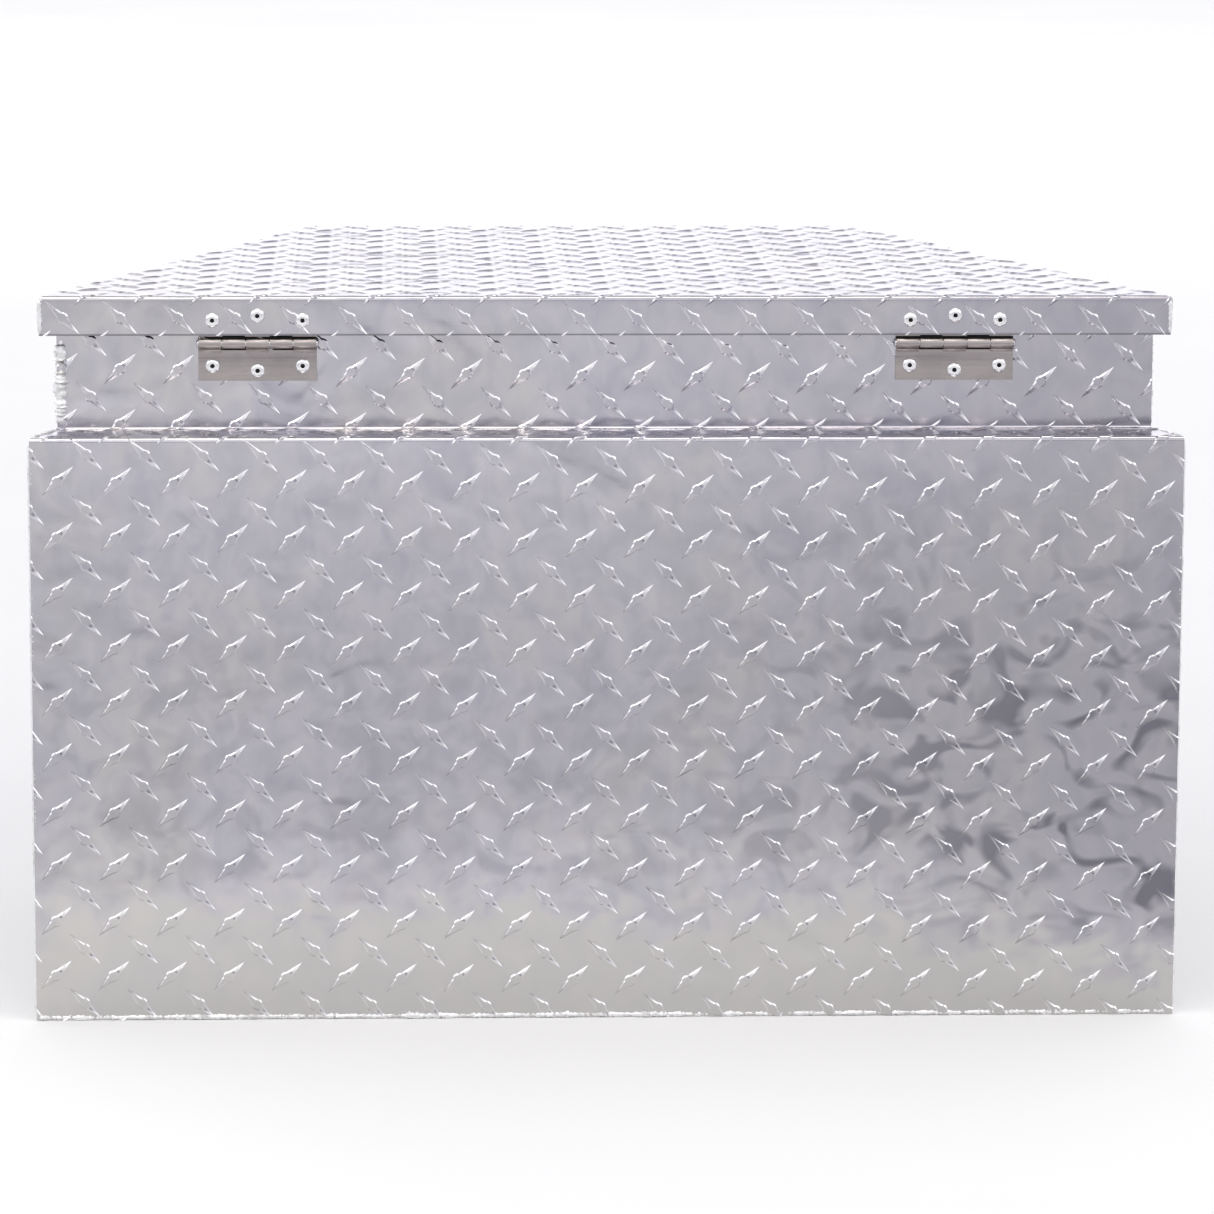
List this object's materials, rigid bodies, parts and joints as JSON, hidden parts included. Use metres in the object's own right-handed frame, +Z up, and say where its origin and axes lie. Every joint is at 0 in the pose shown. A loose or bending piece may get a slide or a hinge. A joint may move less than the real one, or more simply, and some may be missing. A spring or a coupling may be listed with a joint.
{
  "type": "truck tool box",
  "caption": "Tapered aluminium tread-plate tongue tool box with a stepped hinged back, flanged lid, riveted butt hinges, gas struts and a locking paddle latch.",
  "frame": {"origin": "centre of the whole box at its underside", "axes": "+Z up; -Y is the stepped back with the hinges, +Y the narrow latch side; +X is to the right seen from behind"},
  "size_m": [0.74, 0.4838, 0.4674],
  "materials": {
    "tread_plate": "bright mill-finish aluminium tread plate, softly mottled",
    "hinge_steel": "satin stainless steel, warm grey",
    "rivet_metal": "bright pulled rivets",
    "bright_steel": "polished stainless steel",
    "zinc_steel": "zinc-plated steel",
    "strut_paint": "satin black enamel",
    "socket_plastic": "matte black nylon",
    "seal_rubber": "matte black foam rubber"
  },
  "bodies": {
    "box": {"back_panel": "tread_plate", "front_panel": "tread_plate", "left_side_panel": "tread_plate", "right_side_panel": "tread_plate", "floor_pan": "tread_plate", "rim_seal": "seal_rubber", "latch_gasket": "seal_rubber", "latch_dish": "bright_steel", "latch_paddle_pin": "zinc_steel", "latch_pawl_bracket": "zinc_steel", "latch_pawl_pin": "zinc_steel", "latch_pawl_spring": "bright_steel", "latch_lock_barrel": "bright_steel", "latch_rivet_1": "rivet_metal", "latch_rivet_2": "rivet_metal", "latch_rivet_3": "rivet_metal", "latch_rivet_4": "rivet_metal", "hinge_left_body_leaf": "hinge_steel", "hinge_left_pin": "bright_steel", "hinge_left_body_rivet_1": "rivet_metal", "hinge_left_body_rivet_2": "rivet_metal", "hinge_left_body_rivet_3": "rivet_metal", "hinge_right_body_leaf": "hinge_steel", "hinge_right_pin": "bright_steel", "hinge_right_body_rivet_1": "rivet_metal", "hinge_right_body_rivet_2": "rivet_metal", "hinge_right_body_rivet_3": "rivet_metal", "strut_left_body_bracket": "zinc_steel", "strut_left_body_stud": "zinc_steel", "strut_right_body_bracket": "zinc_steel", "strut_right_body_stud": "zinc_steel"},
    "lid": {"lid_skin": "tread_plate", "lid_stiffener": "tread_plate", "latch_striker": "zinc_steel", "hinge_left_lid_leaf": "hinge_steel", "hinge_left_lid_rivet_1": "rivet_metal", "hinge_left_lid_rivet_2": "rivet_metal", "hinge_left_lid_rivet_3": "rivet_metal", "hinge_right_lid_leaf": "hinge_steel", "hinge_right_lid_rivet_1": "rivet_metal", "hinge_right_lid_rivet_2": "rivet_metal", "hinge_right_lid_rivet_3": "rivet_metal", "strut_left_lid_bracket": "zinc_steel", "strut_right_lid_bracket": "zinc_steel"},
    "paddle": {"latch_paddle": "bright_steel"},
    "pawl": {"latch_pawl": "zinc_steel"},
    "lock": {"latch_lock_plug": "zinc_steel"},
    "strut_left": {"strut_left_foot_socket": "socket_plastic", "strut_left_cylinder": "strut_paint"},
    "rod_left": {"strut_left_rod": "bright_steel", "strut_left_head_socket": "socket_plastic", "strut_left_lid_stud": "zinc_steel"},
    "strut_right": {"strut_right_foot_socket": "socket_plastic", "strut_right_cylinder": "strut_paint"},
    "rod_right": {"strut_right_rod": "bright_steel", "strut_right_head_socket": "socket_plastic", "strut_right_lid_stud": "zinc_steel"}
  },
  "joints": [
    {"name": "lid_hinge", "type": "hinge", "parent": "box", "child": "lid", "pos_m": [0, -0.2038, 0.4367], "axis": [1, 0, 0], "range_deg": [0, 80]},
    {"name": "strut_left_pivot", "type": "hinge", "parent": "box", "child": "strut_left", "pos_m": [-0.245, -0.1735, 0.4064], "axis": [1, 0, 0], "range_deg": [0, 77.6]},
    {"name": "strut_left_rod_slide", "type": "slide", "parent": "strut_left", "child": "rod_left", "axis": [0, 0.9684, 0.2496], "range_m": [0, 0.0547]},
    {"name": "strut_right_pivot", "type": "hinge", "parent": "box", "child": "strut_right", "pos_m": [0.245, -0.1735, 0.4064], "axis": [1, 0, 0], "range_deg": [0, 77.6]},
    {"name": "strut_right_rod_slide", "type": "slide", "parent": "strut_right", "child": "rod_right", "axis": [0, 0.9684, 0.2496], "range_m": [0, 0.0547]},
    {"name": "latch_paddle_pull", "type": "hinge", "parent": "box", "child": "paddle", "pos_m": [0, 0.2273, 0.415], "axis": [1, 0, 0], "range_deg": [0, 32], "stiffness_Nm_per_rad": 0.3, "springref_deg": -17.19},
    {"name": "latch_pawl_tip", "type": "hinge", "parent": "box", "child": "pawl", "pos_m": [0, 0.1953, 0.4], "axis": [1, 0, 0], "range_deg": [-19.5, 0]},
    {"name": "lock_turn", "type": "hinge", "parent": "box", "child": "lock", "pos_m": [0.037, 0.2133, 0.388], "axis": [0, 1, 0], "range_deg": [0, 90]}
  ],
  "couplings": [
    {"joint": "strut_left_pivot", "follows": "lid_hinge", "ratio": 0.96778},
    {"joint": "strut_left_rod_slide", "follows": "lid_hinge", "m_per_rad": 0.039064},
    {"joint": "strut_right_pivot", "follows": "lid_hinge", "ratio": 0.96778},
    {"joint": "strut_right_rod_slide", "follows": "lid_hinge", "m_per_rad": 0.039064},
    {"joint": "latch_pawl_tip", "follows": "latch_paddle_pull", "ratio": -0.6}
  ]
}
